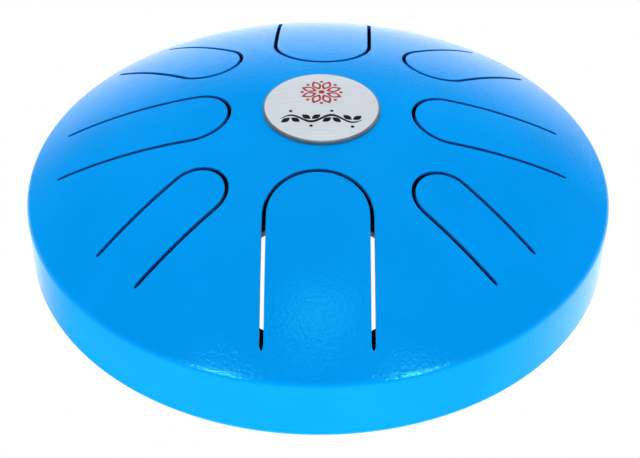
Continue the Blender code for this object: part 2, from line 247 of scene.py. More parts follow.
class Skin:
    """A mesh under construction: points with their normals and plan places, and faces."""

    def __init__(self):
        self.points = []
        self.normals = []
        self.plan = []
        self.faces = []
        self.slots = []

    def add(self, point, normal=(0, 0, 1), plan=None):
        """Adds a point. Its normal counts only in a mesh that is built without a place of its own."""
        self.points.append(tuple(point))
        self.normals.append(tuple(Vector(normal).normalized()))
        self.plan.append(plan or (point[0], point[1]))
        return len(self.points) - 1

    def bridge(self, first, second, slot=COAT):
        """Quads between two closed loops of the same length."""
        count = len(first)
        for here in range(count):
            there = (here + 1) % count
            self.faces.append((first[here], first[there], second[there], second[here]))
            self.slots.append(slot)

    def loft(self, rings):
        """Quads from each ring to the next, and from the last to the first."""
        for here, there in zip(rings, rings[1:] + rings[:1]):
            self.bridge(here, there)

    def join(self, first, second, slot=COAT):
        """Faces between two loops, one of which may be a single point."""
        if len(first) > 1 and len(second) > 1:
            self.bridge(first, second, slot)
            return
        around = second if len(first) == 1 else first
        for here, there in zip(around, around[1:] + around[:1]):
            self.faces.append((first[0], there, here) if len(first) == 1 else (here, there, second[0]))
            self.slots.append(slot)

    def turn(self, samples, inside=(), closed=False, steps=AROUND):
        """Turns a section about Z. The bands whose numbers are in inside get the inside's material."""
        rings = []
        for point, normal in samples:
            ring = []
            for angle in turns(steps) if point[0] else [0]:
                c, s = math.cos(angle), math.sin(angle)
                ring.append(self.add((point[0] * c, point[0] * s, point[1]),
                                     (normal[0] * c, normal[0] * s, normal[1])))
            rings.append(ring)
        following = rings[1:] + rings[:1] if closed else rings[1:]
        for band, (here, there) in enumerate(zip(rings, following)):
            self.join(here, there, INSIDE if band in inside else COAT)
        return rings

    def fill(self, loops, spacing, make_point, upward, slot=COAT):
        """Triangles between loops, in plan. The first loop is the outer one and the others are holes."""
        outlines = [np.array([self.plan[index] for index in loop]) for loop in loops]
        border = np.vstack(outlines)
        places = polar_points(np.abs(outlines[0]).max(), spacing)
        far = np.array([np.hypot(*(border - place).T).min() for place in places]) > EDGE_CLEARANCE * spacing
        places = places[far & inside_region(places, outlines)]
        ids = [index for loop in loops for index in loop]
        ids += [self.add(*make_point(x, y), plan=(x, y)) for x, y in places]
        edges = []
        first = 0
        for loop in loops:
            edges += [(first + n, first + (n + 1) % len(loop)) for n in range(len(loop))]
            first += len(loop)
        flat = [Vector(place) for place in np.vstack([border, places])]
        verts, _, tris, sources, _, _ = delaunay_2d_cdt(flat, edges, [], 0, CLOSE)
        centres = np.array([sum((verts[corner] for corner in tri), Vector((0, 0))) / 3 for tri in tris])
        for tri, kept in zip(tris, inside_region(centres, outlines)):
            if kept:
                corners = [ids[sources[corner][0]] for corner in tri]
                self.faces.append(tuple(corners if upward else reversed(corners)))
                self.slots.append(slot)

    def build(self, name, materials, place=None):
        """Makes the object. One with its own place is shaded by its angles, not by its normals."""
        mesh = bpy.data.meshes.new(name)
        mesh.from_pydata(self.points, [], self.faces)
        for material in materials:
            mesh.materials.append(material)
        mesh.polygons.foreach_set("material_index", self.slots)
        mesh.shade_smooth()
        thing = add_object(name, mesh)
        if place:
            mesh.set_sharp_from_angle(angle=SHARP)
            thing.matrix_world = place
        else:
            mesh.normals_split_custom_set_from_vertices(self.normals)
        return thing


def inside_polygon(places, outline):
    x0, y0 = outline.T
    x1, y1 = np.roll(outline, -1, axis=0).T
    x, y = places[:, :1], places[:, 1:]
    crosses = (y0 > y) != (y1 > y)
    rise = np.where(y1 == y0, 1, y1 - y0)
    left = x < x0 + (y - y0) * (x1 - x0) / rise
    return (crosses & left).sum(axis=1) % 2 == 1


def inside_region(places, outlines):
    """Inside the first outline and outside the others."""
    inside = inside_polygon(places, outlines[0])
    for hole in outlines[1:]:
        inside &= ~inside_polygon(places, hole)
    return inside


def polar_points(reach, spacing):
    """Points on rings about Z that cover the square that reaches this far along X and Y."""
    points = [(0.0, 0.0)]
    for ring in range(1, int(reach * math.sqrt(2) / spacing) + 2):
        radius = ring * spacing
        count = round(2 * math.pi * ring)
        for step in range(count):
            angle = 2 * math.pi * (step + 0.5 * (ring % 2)) / count
            points.append((radius * math.cos(angle), radius * math.sin(angle)))
    return np.array(points)


# -------- the cuts around the tongues
# An outline's points are (u, v, u into the metal, v into the metal), anticlockwise. u runs along the
# tongue from the drum's axis. A tongue and the shell share the same points on the split line between
# them, whose v shrinks as the edge's rounding cuts into it.

STRAIGHT_STEP = 4 * MM
ARC_STEPS = 32
SPLIT_STEPS = 12
END_STEPS = 6
BOW = 0.02 * MM         # a straight side bows out this much, so that no three points of it are in line


def half_width(tongue):
    return tongue.width / 2 - SLOT / 2


def split_line(tongue):
    half = half_width(tongue)
    shares = [2 * n / SPLIT_STEPS - 1 for n in range(SPLIT_STEPS + 1)]
    return [(tongue.root - SPLIT + BOW * (1 - share**2), half * share, 0.0, -share) for share in shares]


def straight(u_from, u_to, v, into_v):
    """The points between the ends of a straight side, without its ends."""
    count = round(abs(u_to - u_from) / STRAIGHT_STEP)
    points = []
    for n in range(1, count):
        share = n / count
        bow = math.copysign(4 * BOW * share * (1 - share), v)
        points.append((u_from + (u_to - u_from) * share, v + bow, 0.0, into_v))
    return points


def tip_arc(tongue, radius, into):
    centre = tongue.tip + tongue.width / 2
    arc = []
    for step in range(ARC_STEPS + 1):
        angle = math.pi / 2 + math.pi * step / ARC_STEPS
        c, s = math.cos(angle), math.sin(angle)
        arc.append((centre + radius * c, radius * s, into * c, into * s))
    return arc


def cut_end(u, v):
    """The rounded end of a cut whose middle is at v, from its lower v to its higher v."""
    end = []
    for step in range(END_STEPS + 1):
        angle = math.pi * (step / END_STEPS - 0.5)
        c, s = math.cos(angle), math.sin(angle)
        into = Vector((c * SLOT / 2, s * CUT_END)).normalized()
        end.append((u + CUT_END * c, v + SLOT / 2 * s, into.x, into.y))
    return end


def tongue_outline(tongue):
    half, split = half_width(tongue), tongue.root - SPLIT
    centre = tongue.tip + tongue.width / 2
    return (split_line(tongue) + straight(split, centre, half, -1.0) + tip_arc(tongue, half, -1)
            + straight(centre, split, -half, 1.0))


def opening_outline(tongue):
    """Round the opening in the shell: the split line, the ends of the cut and its outer side."""
    middle = tongue.width / 2
    outer = middle + SLOT / 2
    end = tongue.root - CUT_END
    centre = tongue.tip + middle
    return (split_line(tongue) + cut_end(end, middle) + straight(end, centre, outer, 1.0)
            + tip_arc(tongue, outer, 1) + straight(centre, end, -outer, -1.0) + cut_end(end, -middle))


def to_plan(outline, direction):
    turn = Matrix.Rotation(math.radians(direction), 2)
    return [(*(turn @ Vector((u, v))), *(turn @ Vector((into_u, into_v))))
            for u, v, into_u, into_v in outline]


def circle_outline(centre, radius, squeeze, steps):
    """Round a hole. squeeze flattens it along the line from the drum's axis."""
    turn = Matrix.Rotation(math.atan2(centre[1], centre[0]), 2)
    outline = []
    for angle in turns(steps):
        into = turn @ unit(angle)
        offset = turn @ Vector((radius * squeeze * math.cos(angle), radius * math.sin(angle)))
        outline.append((centre[0] + offset.x, centre[1] + offset.y, into.x, into.y))
    return outline


def edge_rows():
    """Down a cut in the sheet: (inset from its wall, depth under the outside, turn of the normal)."""
    rows = []
    for step in range(EDGE_STEPS + 1):
        angle = math.pi / 2 * step / EDGE_STEPS
        rows.append((EDGE_ROUND * (1 - math.sin(angle)), EDGE_ROUND * (1 - math.cos(angle)), angle))
    for step in range(3):
        angle = math.pi / 2 * step / 2
        rows.append((INNER_EDGE_ROUND * (1 - math.cos(angle)),
                     SHEET - INNER_EDGE_ROUND * (1 - math.sin(angle)), math.pi / 2 + angle))
    return rows


def cut_wall(skin, dome, outline, metal_inside):
    """The wall of a cut, outside to inside. Returns its loops on the outer and the inner surface."""
    rings = []
    for inset, depth, angle in edge_rows():
        ring = []
        for x, y, into_x, into_y in outline:
            px, py = x + inset * into_x, y + inset * into_y
            point, normal = on_dome(dome, px, py, depth)
            side = Vector((-into_x, -into_y, 0))
            side -= side.dot(normal) * normal
            if side.length:
                side.normalize()
            ring.append(skin.add(point, math.cos(angle) * normal + math.sin(angle) * side, (px, py)))
        rings.append(ring)
    turns_up = (dome is lower_dome) != metal_inside
    for row, (outer, inner) in enumerate(zip(rings, rings[1:])):
        slot = CUT if row >= EDGE_STEPS else COAT
        skin.bridge(*((inner, outer) if turns_up else (outer, inner)), slot)
    return rings[0], rings[-1]


# -------- upper shell and tongues


def fill_dome(skin, dome, outer_loops, inner_loops):
    """The outer and the inner surface of a dome between these loops."""
    upward = dome is upper_dome
    skin.fill(outer_loops, OUTER_SPACING, lambda x, y: on_dome(dome, x, y), upward, COAT)

    def inner_point(x, y):
        point, normal = on_dome(dome, x, y, SHEET)
        return point, -normal

    skin.fill(inner_loops, INNER_SPACING, inner_point, not upward, INSIDE)


def set_plan(skin, ring, radius):
    """Puts an inner ring's plan places at the radius of the outside's point over it."""
    for index in ring:
        x, y = skin.plan[index]
        reach = math.hypot(x, y)
        skin.plan[index] = (x / reach * radius, y / reach * radius)


def make_upper_shell(materials):
    skin = Skin()
    arc = corner_arc(upper_dome)
    foot_radius = RIM_RADIUS - (RIM_RADIUS - SKIRT_FOOT_RADIUS) * (UPPER_CORNER_Z - SEAM_Z) / SKIRT_HEIGHT
    inner_arc = inside_of(arc)
    skirt = rounded([(inner_arc[-1][0], 0), (Vector((foot_radius - SHEET, SEAM_Z)), INNER_EDGE_ROUND),
                     (Vector((foot_radius, SEAM_Z)), SEAM_ROUND), (arc[-1][0], 0)])
    rings = skin.turn(inner_arc + skirt[1:-1] + arc[::-1], inside=range(len(inner_arc)))
    set_plan(skin, rings[0], corner_round(upper_dome)[0])
    outer_loops, inner_loops = [rings[-1]], [rings[0]]
    for tongue in TONGUES:
        top, bottom = cut_wall(skin, upper_dome, to_plan(opening_outline(tongue), tongue.direction), False)
        outer_loops.append(top)
        inner_loops.append(bottom)
    fill_dome(skin, upper_dome, outer_loops, inner_loops)
    shell = skin.build("upper_shell_surface", materials)
    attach(shell, "shell")
    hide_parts("upper_shell")


def make_tongue(tongue, materials):
    skin = Skin()
    outline = to_plan(tongue_outline(tongue), tongue.direction)
    top, bottom = cut_wall(skin, upper_dome, outline, True)
    fill_dome(skin, upper_dome, [top], [bottom])
    blade = skin.build(f"tongue_{tongue.name}_surface", materials)
    along = Matrix.Rotation(math.radians(tongue.direction), 2) @ Vector((1, 0))
    start, end = (on_dome(upper_dome, *(along * (tongue.root - SPLIT - back)))[0] for back in (0, BEND))
    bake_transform(blade)
    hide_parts(f"tongue_{tongue.name}")


# -------- lower shell


def fixing_places():
    """Where each foot's screw passes through the lower shell's outside. Local +Z points inwards."""
    point, normal = lower_dome(FOOT_FIXING_RADIUS)
    tilt = math.atan2(normal.x, -normal.y)
    places = []
    for index in range(FOOT_COUNT):
        angle = math.radians(FOOT_FIRST_ANGLE) + 2 * math.pi * index / FOOT_COUNT
        turn = Matrix.Rotation(angle, 4, "Z")
        places.append(turn @ Matrix.Translation((point.x, 0, point.y)) @ Matrix.Rotation(-tilt, 4, "Y"))
    return places


BANDS_TO_LIP = 8        # from the end of the corner's arc to the lip, where the inside's material starts
SOUND_HOLE_STEPS = 160
SCREW_HOLE_STEPS = 24


def make_lower_shell(materials):
    skin = Skin()
    arc = corner_arc(lower_dome)
    lip_top = SEAM_Z + LIP_HEIGHT
    inner_lip = LIP_RADIUS - SHEET
    base, base_normal = lower_dome(inner_lip)
    border = lower_dome(inner_lip - 2 * LIP_ROOT_ROUND)
    corners = [(Vector((LIP_RADIUS, SEAM_Z)), INNER_EDGE_ROUND),
               (Vector((LIP_RADIUS, lip_top)), INNER_EDGE_ROUND),
               (Vector((inner_lip, lip_top)), INNER_EDGE_ROUND),
               (Vector((inner_lip, base.y - SHEET / base_normal.y)), LIP_ROOT_ROUND)]
    ends = [(arc[-1][0], SEAM_ROUND), (inside_of([border])[0][0], 0)]
    lip = rounded([(arc[-2][0], 0), ends[0]] + corners + [ends[1]])
    rings = skin.turn(arc[:-1] + lip[1:], inside=range(len(arc) + BANDS_TO_LIP, len(arc) + len(lip)))
    set_plan(skin, rings[-1], border[0].x)
    outer_loops, inner_loops = [rings[0]], [rings[-1]]
    squeeze = -lower_dome(FOOT_FIXING_RADIUS)[1].y
    holes = [circle_outline((0, 0), SOUND_HOLE_RADIUS, 1.0, SOUND_HOLE_STEPS)]
    for place in fixing_places():
        holes.append(circle_outline(place.translation.xy, CLEAR_HOLE_RADIUS, squeeze, SCREW_HOLE_STEPS))
    for hole in holes:
        bottom, top = cut_wall(skin, lower_dome, hole, False)
        outer_loops.append(bottom)
        inner_loops.append(top)
    fill_dome(skin, lower_dome, outer_loops, inner_loops)
    shell = skin.build("lower_shell_surface", materials)
    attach(shell, "shell")
    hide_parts("lower_shell")


TRIM_TIP_SHARE = 0.55   # of the wall, rounds a leg's outer edge
TRIM_TIP_FLAT = 0.02 * MM


def make_trim(materials):
    """The U-section rubber trim on the sound hole's edge, its legs along the sheet."""
    edge, normal = lower_dome(SOUND_HOLE_RADIUS)
    along = Vector((-normal.y, normal.x))
    web = -GAP - TRIM_WALL
    below = GAP + TRIM_WALL
    above = -(SHEET + below)
    tip = TRIM_TIP_SHARE * TRIM_WALL
    inner_tip = TRIM_WALL - tip - TRIM_TIP_FLAT
    corners = ((web, below, tip), (TRIM_REACH, below, tip), (TRIM_REACH, GAP, inner_tip),
               (-GAP, GAP, GAP), (-GAP, -SHEET - GAP, GAP), (TRIM_REACH, -SHEET - GAP, inner_tip),
               (TRIM_REACH, above, tip), (web, above, tip))
    section = rounded([(edge + along * reach + normal * height, radius)
                       for reach, height, radius in corners], closed=True)
    skin = Skin()
    skin.turn(section, closed=True, steps=SOUND_HOLE_STEPS)
    trim = skin.build("sound_hole_trim_surface", materials)
    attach(trim, "shell")
    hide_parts("sound_hole_trim")


# -------- feet and their fasteners
# A foot is built as it stands at +X. A fastener is built in its own screw's frame, +Z into the drum.

FOOT_STEPS = 72
FOOT_BASE_ROUND = 1.2 * MM
FOOT_TOP_ROUND = 0.8 * MM
FOOT_ROUND_STEPS = 5
BORE_ROUND = 0.5 * MM
GROOVE_DEPTH = 0.4 * MM
GROOVE_BOTTOM = 3.2 * MM
GROOVE_TOP = 4.6 * MM
FASTENER_STEPS = 48
SHANK_RADIUS = 1.85 * MM
SCREW_LENGTH = 16 * MM
THREAD_PITCH = 0.7 * MM
THREAD_DEPTH = 0.35 * MM
THREAD_START = 2 * MM           # from the head
THREAD_ROUND = 0.03 * MM
HEAD_RADIUS = 3.7 * MM
HEAD_HEIGHT = 2.6 * MM
HEAD_FLAT = 2.3 * MM
HEAD_ROUND = 1.2 * MM
SMALL_ROUND = 0.15 * MM
FINE_ROUND = 0.1 * MM
RECESS_DEPTH = 1.5 * MM
RECESS_REACH = 2.0 * MM
RECESS_HALF_WIDTH = 0.45 * MM
WASHER_RADIUS = 4.5 * MM
WASHER_THICKNESS = 0.8 * MM
NUT_ACROSS_FLATS = 7 * MM
NUT_HEIGHT = 3.2 * MM
THREAD_HOLE_RADIUS = 2.1 * MM
CHAMFER = 0.3 * MM

WASHER_TOP = -2 * GAP - FOOT_WEB
WASHER_BOTTOM = WASHER_TOP - WASHER_THICKNESS
HEAD_TOP = WASHER_BOTTOM - GAP
HEAD_BOTTOM = HEAD_TOP - HEAD_HEIGHT


def circle(radius, steps):
    return [Vector((radius * math.cos(angle), radius * math.sin(angle), 0)) for angle in turns(steps)]


def foot_rings(place):
    """A foot's rings: up its side, in over its top, down its bore and out over its base."""
    axis = Vector((FOOT_FIXING_RADIUS + FOOT_SHIFT, 0, 0))
    taper = (FOOT_TOP_RADIUS - FOOT_BASE_RADIUS) / lower_dome(FOOT_FIXING_RADIUS)[0].y

    def under_shell(spot):
        return lower_dome(spot.xy.length)[0].y - GAP

    def side(height, inset=0.0):
        radius = FOOT_BASE_RADIUS + taper * height - inset
        return [axis + spot + Vector((0, 0, height)) for spot in circle(radius, FOOT_STEPS)]

    def near_top(inset, below):
        ring = []
        for spot in circle(1, FOOT_STEPS):
            outer = axis + spot * (FOOT_BASE_RADIUS + taper * under_shell(axis + spot * FOOT_TOP_RADIUS))
            inner = outer - spot * inset
            ring.append(Vector((inner.x, inner.y, under_shell(inner) - below)))
        return ring

    def bore(radius, height):
        return [place @ (spot + Vector((0, 0, height))) for spot in circle(radius, FOOT_STEPS)]

    def mouth(radius, height):
        """Where the bore, widened to this radius, meets a height over the ground."""
        across = place.to_3x3() @ Vector((0, 0, 1))
        return [point - across * ((point.z - height) / across.z) for point in bore(radius, 0)]

    def quarter(radius):
        """Round a corner from its first side to its second: how far it is in from each of them."""
        angles = (math.pi / 2 * step / FOOT_ROUND_STEPS for step in range(FOOT_ROUND_STEPS + 1))
        return [(radius * (1 - math.cos(angle)), radius * (1 - math.sin(angle))) for angle in angles]

    rings = [side(*corner) for corner in quarter(FOOT_BASE_ROUND)]
    rings += [side(GROOVE_BOTTOM), side(GROOVE_BOTTOM + GROOVE_DEPTH, GROOVE_DEPTH),
              side(GROOVE_TOP - GROOVE_DEPTH, GROOVE_DEPTH), side(GROOVE_TOP)]
    rings += [near_top(*corner) for corner in quarter(FOOT_TOP_ROUND)]
    shoulder = -GAP - FOOT_WEB
    rings += [bore(CLEAR_HOLE_RADIUS, -GAP), bore(CLEAR_HOLE_RADIUS, shoulder),
              bore(COUNTERBORE_RADIUS, shoulder)]
    rings += [mouth(COUNTERBORE_RADIUS + out, height) for out, height in quarter(BORE_ROUND)]
    return rings


def make_foot(skin, place):
    skin.loft([[skin.add(point) for point in ring] for ring in foot_rings(place)])


def make_screw(skin):
    corners = [((HEAD_FLAT, HEAD_BOTTOM), 0), ((HEAD_RADIUS, HEAD_BOTTOM), HEAD_ROUND),
               ((HEAD_RADIUS, HEAD_TOP), SMALL_ROUND), ((SHANK_RADIUS, HEAD_TOP), FINE_ROUND)]
    height, end = HEAD_TOP + THREAD_START, HEAD_TOP + SCREW_LENGTH
    while height < end - THREAD_PITCH:
        corners += [((SHANK_RADIUS, height), THREAD_ROUND),
                    ((SHANK_RADIUS - THREAD_DEPTH, height + THREAD_PITCH / 2), THREAD_ROUND)]
        height += THREAD_PITCH
    corners += [((SHANK_RADIUS - THREAD_DEPTH, end), FINE_ROUND), ((0, end), 0)]
    section = rounded([(Vector(corner), radius) for corner, radius in corners], steps=3)
    rim = skin.turn(section, steps=FASTENER_STEPS)[0]

    def cross(height):
        arm = [Vector((RECESS_REACH, -RECESS_HALF_WIDTH)), Vector((RECESS_REACH, RECESS_HALF_WIDTH)),
               Vector((RECESS_HALF_WIDTH, RECESS_HALF_WIDTH))]
        spins = [Matrix.Rotation(angle, 2) for angle in turns(4)]
        return [skin.add((*(spin @ corner), height)) for spin in spins for corner in arm]

    mouth, floor = cross(HEAD_BOTTOM), cross(HEAD_BOTTOM + RECESS_DEPTH)
    skin.bridge(floor, mouth)
    skin.fill([rim, mouth], HEAD_RADIUS, lambda x, y: ((x, y, HEAD_BOTTOM),), False)
    skin.fill([floor], HEAD_RADIUS, lambda x, y: ((x, y, HEAD_BOTTOM + RECESS_DEPTH),), False)


def make_washer(skin):
    corners = ((CLEAR_HOLE_RADIUS, WASHER_BOTTOM), (WASHER_RADIUS, WASHER_BOTTOM),
               (WASHER_RADIUS, WASHER_TOP), (CLEAR_HOLE_RADIUS, WASHER_TOP))
    section = rounded([(Vector(corner), SMALL_ROUND) for corner in corners], closed=True)
    skin.turn(section, closed=True, steps=FASTENER_STEPS)


def make_nut(skin):
    """A chamfered hexagon, with its corners cut back towards its two faces."""
    bottom, top = SHEET + GAP, SHEET + GAP + NUT_HEIGHT
    flat = NUT_ACROSS_FLATS / 2
    side = math.pi / 3
    reaches = [flat / math.cos(angle % side - side / 2) for angle in turns(FASTENER_STEPS)]

    def ring(height, radius):
        return [skin.add(spot + Vector((0, 0, height))) for spot in circle(radius, FASTENER_STEPS)]

    def hexagon(height, way):
        """The edge between the flats and the chamfer, whose corners are cut back further."""
        edge = []
        for spot, reach in zip(circle(1, FASTENER_STEPS), reaches):
            cut = CHAMFER + (reach - flat) / 2
            edge.append(skin.add(spot * reach + Vector((0, 0, height + way * cut))))
        return edge

    face = flat - CHAMFER / 2
    rings = [ring(bottom, face), hexagon(bottom, 1), hexagon(top, -1), ring(top, face),
             ring(top, THREAD_HOLE_RADIUS + CHAMFER), ring(top - CHAMFER, THREAD_HOLE_RADIUS),
             ring(bottom + CHAMFER, THREAD_HOLE_RADIUS), ring(bottom, THREAD_HOLE_RADIUS + CHAMFER)]
    skin.loft(rings)


def make_feet(rubber, zinc):
    places = fixing_places()
    unturned = Matrix.Rotation(-math.radians(FOOT_FIRST_ANGLE), 4, "Z") @ places[0]
    for number, place in enumerate(places, 1):
        skin = Skin()
        make_foot(skin, unturned)
        pieces = [(f"foot_{number}", skin, place @ unturned.inverted(), rubber, "black_rubber")]
        for kind, make in (("screw", make_screw), ("washer", make_washer), ("nut", make_nut)):
            skin = Skin()
            make(skin)
            pieces.append((f"foot_{kind}_{number}", skin, place, zinc, "zinc_steel"))
        for node, skin, spot, material, finish in pieces:
            piece = skin.build(f"{node}_surface", [material], spot)
            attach(piece, "shell")
            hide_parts(node)


# -------- badge


def disc_over_dome(name, centre, sections, materials, slots):
    """A disc that follows the dome, from rings: (distance from its centre, height over the dome, tilt)."""
    skin = Skin()
    rings = []
    for reach, height, tilt in sections:
        ring = []
        for angle in turns(BADGE_STEPS) if reach else [0]:
            across = unit(angle)
            x, y = centre + reach * across
            point, normal = on_dome(upper_dome, x, y)
            side = Vector((across.x, across.y, 0))
            ring.append(skin.add(point + Vector((0, 0, height)),
                                 math.cos(tilt) * normal + math.sin(tilt) * side))
        rings.append(ring)
    for band, (here, there) in enumerate(zip(rings, rings[1:])):
        skin.join(here, there, slots[band])
    return skin.build(name, materials)


def make_badge(face, edge):
    """A pressed plate: its rim is rounded and turned down around the adhesive, almost to the dome."""
    rim_inside = BADGE_RADIUS - BADGE_RIM
    corners = [(0, BADGE_BOTTOM, 0), (rim_inside, BADGE_BOTTOM, BADGE_RIM / 2),
               (rim_inside, BADGE_RIM_BOTTOM, BADGE_RIM / 4),
               (BADGE_RADIUS, BADGE_RIM_BOTTOM, BADGE_RIM / 4),
               (BADGE_RADIUS, BADGE_TOP, BADGE_ROUND),
               (BADGE_RADIUS - 1.5 * BADGE_ROUND, BADGE_TOP, 0)]
    section = rounded([(Vector((reach, height)), radius) for reach, height, radius in corners], steps=6)
    sections = [(point.x, point.y, math.atan2(normal.x, normal.y)) for point, normal in section]
    flat = section[-1][0].x
    sections += [(flat * step / BADGE_RINGS, BADGE_TOP, 0) for step in range(BADGE_RINGS - 1, -1, -1)]
    slots = [1] * (len(section) - 2) + [0] * (BADGE_RINGS + 1)
    badge = disc_over_dome("badge_plate_surface", BADGE_CENTRE, sections, [face, edge], slots)
    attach(badge, "shell")
    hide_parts("badge_plate")


# -------- prints on the badge

PRINT_TOP = BADGE_TOP + 0.04 * MM
PRINT_FOOT = BADGE_TOP - 0.05 * MM
PRINT_SPACING = 5 * MM

ROSETTE_PLACE = BADGE_CENTRE + Vector((0, 11 * MM))
ROSETTE_RADIUS = 11 * MM
ROSETTE_HEART = 1.6 * MM
PETALS = 8
PETAL_START = 2.5 * MM
PETAL_WIDTH = 4.7 * MM
PETAL_LINE = 1.05 * MM
DOT_RADIUS = 0.9 * MM
DOT_PLACE = 9.8 * MM

VINE_PLACE = BADGE_CENTRE + Vector((0, -11.5 * MM))
VINE_HALF = 20.5 * MM
VINE_TURNS = 2
VINE_SWING = 2.6 * MM
VINE_LINE = 1.8 * MM
LEAF_LENGTH = 5.6 * MM
LEAF_WIDTH = 3.2 * MM
LEAF_LEAN = math.radians(38)
LEAF_GAP = 0.3 * MM
LEAF_PLACE = 1.1 * VINE_LINE     # from the stem's middle
VINE_DOT_PLACE = 1.9 * VINE_LINE


def leaf(start, direction, length, width, steps=12):
    """A pointed leaf from its stem, anticlockwise."""
    along = unit(direction)
    across = Vector((-along.y, along.x))
    outline = []
    for side in (-1, 1):
        for step in range(steps):
            share = step / steps if side < 0 else 1 - step / steps
            swell = width / 2 * math.sin(math.pi * share)
            outline.append(start + share * length * along + side * swell * across)
    return outline


def dot(centre, radius, steps=20):
    return [centre + radius * unit(angle) for angle in turns(steps)]


def rosette_shapes():
    """Eight outlined petals round a heart, with a dot between each two."""
    shapes = [[dot(ROSETTE_PLACE, ROSETTE_HEART)]]
    for petal in range(PETALS):
        direction = 2 * math.pi * (petal + 0.5) / PETALS
        along = unit(direction)
        length = ROSETTE_RADIUS - PETAL_START
        inset = PETAL_LINE * length / PETAL_WIDTH
        outer = leaf(ROSETTE_PLACE + PETAL_START * along, direction, length, PETAL_WIDTH)
        inner = leaf(ROSETTE_PLACE + (PETAL_START + inset) * along, direction, length - 2 * inset,
                     PETAL_WIDTH - 2 * PETAL_LINE)
        shapes.append([outer, inner])
        between = direction + math.pi / PETALS
        spot = ROSETTE_PLACE + DOT_PLACE * unit(between)
        shapes.append([dot(spot, DOT_RADIUS)])
    return shapes


def vine_shapes():
    """A wavy stem that thins to its ends, with two leaves in each bend."""
    steps = 24 * VINE_TURNS
    wave = math.pi * VINE_TURNS / VINE_HALF     # turns the way along the stem into an angle

    def stem(along):
        return VINE_SWING * math.sin(wave * along)

    sides = []
    for side in (-1, 1):
        for step in range(steps):
            along = side * VINE_HALF * (1 - 2 * step / steps)
            thick = VINE_LINE / 2 * math.sqrt(1 - (along / VINE_HALF) ** 2)
            sides.append(VINE_PLACE + Vector((along, stem(along) + side * thick)))
    shapes = [[sides]]
    for bend in range(-2 * VINE_TURNS + 1, 2 * VINE_TURNS, 2):
        along = bend * VINE_HALF / (2 * VINE_TURNS)
        away = -1 if stem(along) > 0 else 1
        foot = VINE_PLACE + Vector((along, stem(along) + away * LEAF_PLACE))
        for lean in (LEAF_LEAN, math.pi - LEAF_LEAN):
            start = foot + Vector((LEAF_GAP * math.cos(lean), 0))
            shapes.append([leaf(start, away * lean, LEAF_LENGTH, LEAF_WIDTH)])
        shapes.append([dot(VINE_PLACE + Vector((along, stem(along) - away * VINE_DOT_PLACE)), DOT_RADIUS)])
    return shapes


def make_print(name, shapes, material):
    """Ink on the badge: a thin closed slab for each shape, whose outline comes before its holes."""
    skin = Skin()

    def place(height, way):
        def on_badge(x, y):
            point, normal = on_dome(upper_dome, x, y)
            return point + Vector((0, 0, height)), way * normal
        return on_badge

    top, foot = place(PRINT_TOP, 1), place(PRINT_FOOT, -1)
    for outlines in shapes:
        tops = [[skin.add(*top(x, y)) for x, y in outline] for outline in outlines]
        feet = [[skin.add(*foot(x, y)) for x, y in outline] for outline in outlines]
        skin.bridge(feet[0], tops[0])
        for upper, lower in zip(tops[1:], feet[1:]):
            skin.bridge(upper, lower)
        skin.fill(tops, PRINT_SPACING, top, True)
        skin.fill(feet, PRINT_SPACING, foot, False)
    piece = skin.build(name, [material])
    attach(piece, "shell")


# -------- materials
# Each finish clouds between two colours.
COAT_BLUES = (0.0, 0.285, 0.80), (0.0, 0.305, 0.85)
# darker blues for the cut walls: painted shade inside the narrow cuts
CUT_SHADE_BLUES = (0.0, 0.12, 0.48), (0.0, 0.15, 0.60)
# the inside's near black: a black primer, and painted shade for the dark inside of the drum
PRIMER_AND_SHADE_BLACKS = (0.004, 0.005, 0.007), (0.008, 0.009, 0.012)
RUBBER_BLACKS = (0.012, 0.012, 0.013), (0.022, 0.022, 0.022)
BRUSHED_GREYS = (0.69, 0.73, 0.79), (0.81, 0.85, 0.91)
# darker greys for the badge's rim: painted shade on the turned-down edge
EDGE_SHADE_GREYS = (0.24, 0.24, 0.25), (0.35, 0.34, 0.35)
ZINC_GREYS = (0.50, 0.51, 0.53), (0.62, 0.62, 0.60)
SEALANT_WHITES = (0.70, 0.70, 0.64), (0.82, 0.82, 0.78)
INK_REDS = (0.42, 0.06, 0.06), (0.33, 0.025, 0.03)
INK_BLACKS = (0.016, 0.017, 0.022), (0.006, 0.006, 0.009)
COAT_SHEEN = (0.08, 0.9, 0.75, 1)       # tints the coat's reflections

# A Mix node's sockets: its factor, its two numbers, its two colours and the colour it gives.
MIX_FACTOR, MIX_NUMBERS, MIX_COLOURS, MIXED_COLOUR = 0, (2, 3), (6, 7), 2


def feed(tree, socket, value):
    """Links another node's output to a socket, or sets the socket to a number or a colour."""
    if isinstance(value, bpy.types.NodeSocket):
        tree.links.new(value, socket)
    else:
        socket.default_value = value


def map_range(tree, source, limits, results, smooth=False):
    """Maps a value between two limits to two numbers."""
    made = tree.nodes.new("ShaderNodeMapRange")
    if smooth:
        made.interpolation_type = "SMOOTHSTEP"
    values = dict(zip(("From Min", "From Max", "To Min", "To Max"), (*limits, *results)), Value=source)
    for name, value in values.items():
        feed(tree, made.inputs[name], value)
    return made.outputs["Result"]


